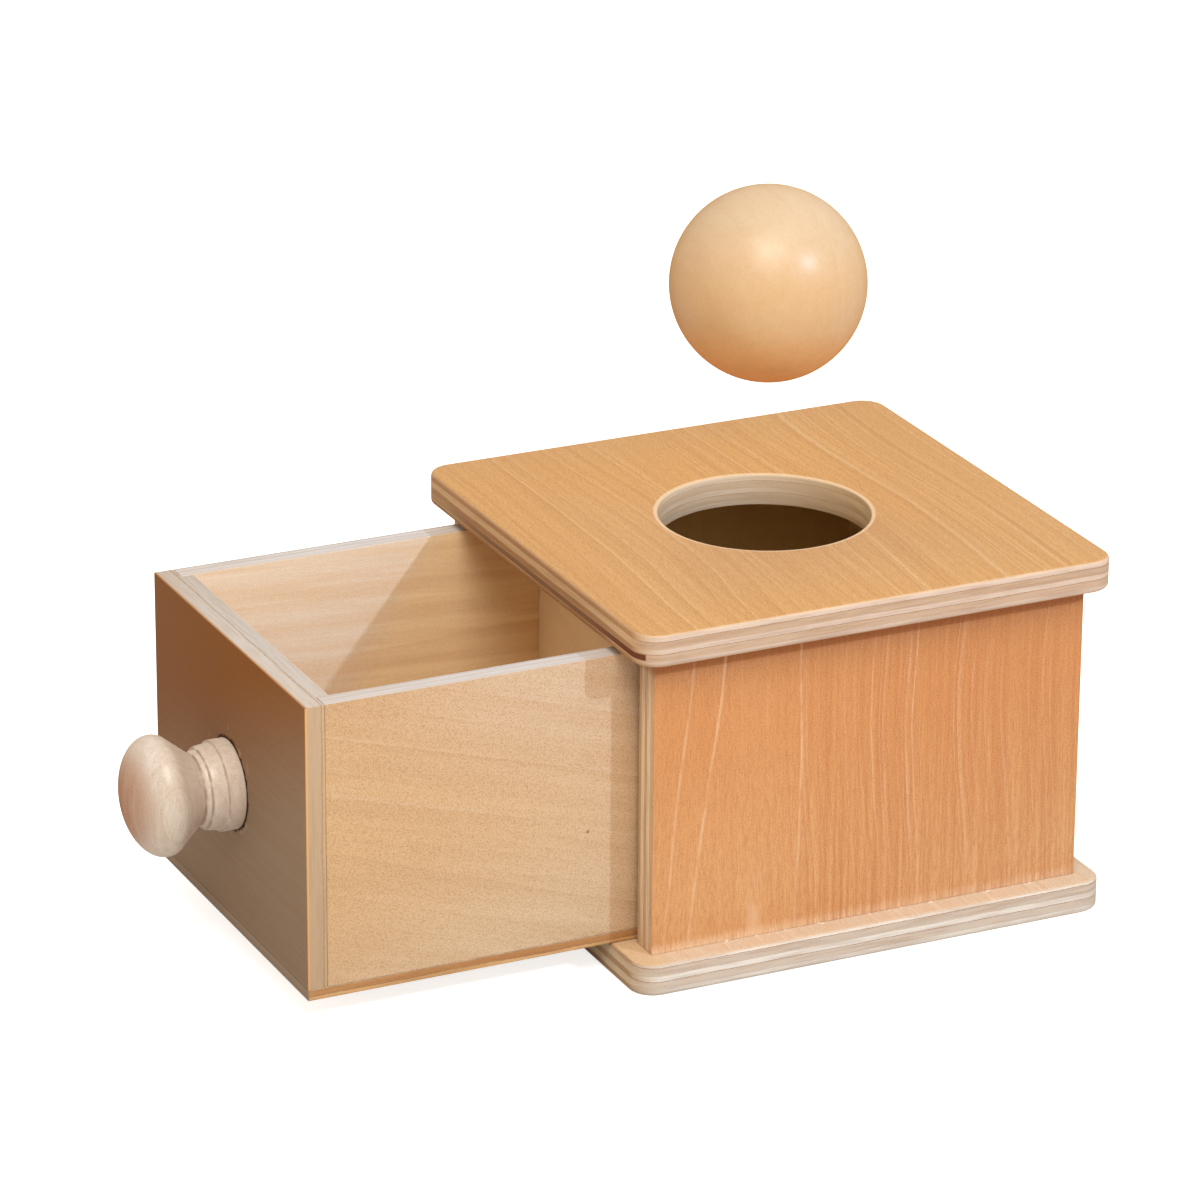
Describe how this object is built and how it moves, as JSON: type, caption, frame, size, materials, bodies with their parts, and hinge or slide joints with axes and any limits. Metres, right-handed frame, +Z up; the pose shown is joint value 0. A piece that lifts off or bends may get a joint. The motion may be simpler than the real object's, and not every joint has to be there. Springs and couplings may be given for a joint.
{
  "type": "object permanence box",
  "caption": "Plywood toy box with a round hole in its lid: a wooden ball drops through it into a drawer, which pulls out by a turned knob.",
  "frame": {"origin": "centre of the base plate's underside, which rests on the table", "axes": "+Z up; -Y is the way the drawer pulls out; +X is the side of the wall that the picture shows"},
  "size_m": [0.14, 0.256, 0.1935],
  "materials": {
    "housing_plywood": "clear satin lacquer on beech-faced plywood",
    "front_plywood": "clear satin lacquer on beech-faced plywood",
    "drawer_plywood": "sanded pale plywood",
    "dowel_wood": "plain",
    "knob_wood": "clear satin lacquer",
    "ball_wood": "clear gloss lacquer",
    "screw_steel": "zinc plated"
  },
  "bodies": {
    "housing": {"base_plate": "housing_plywood", "left_wall": "housing_plywood", "right_wall": "housing_plywood", "back_wall": "housing_plywood", "lid": "housing_plywood", "base_dowels": "dowel_wood", "lid_dowels": "dowel_wood", "back_wall_dowels": "dowel_wood"},
    "drawer": {"drawer_front": "front_plywood", "drawer_left_side": "drawer_plywood", "drawer_right_side": "drawer_plywood", "drawer_back": "drawer_plywood", "drawer_bottom": "drawer_plywood", "knob": "knob_wood", "knob_screw": "screw_steel"},
    "ball": {"ball": "ball_wood"}
  },
  "joints": [
    {"name": "drawer_slide", "type": "slide", "parent": "housing", "child": "drawer", "axis": [0, -1, 0], "range_m": [-0.0935, 0.032]},
    {"name": "ball_drop", "type": "slide", "parent": "housing", "child": "ball", "axis": [0, 0, -1], "range_m": [0, 0.128]}
  ]
}
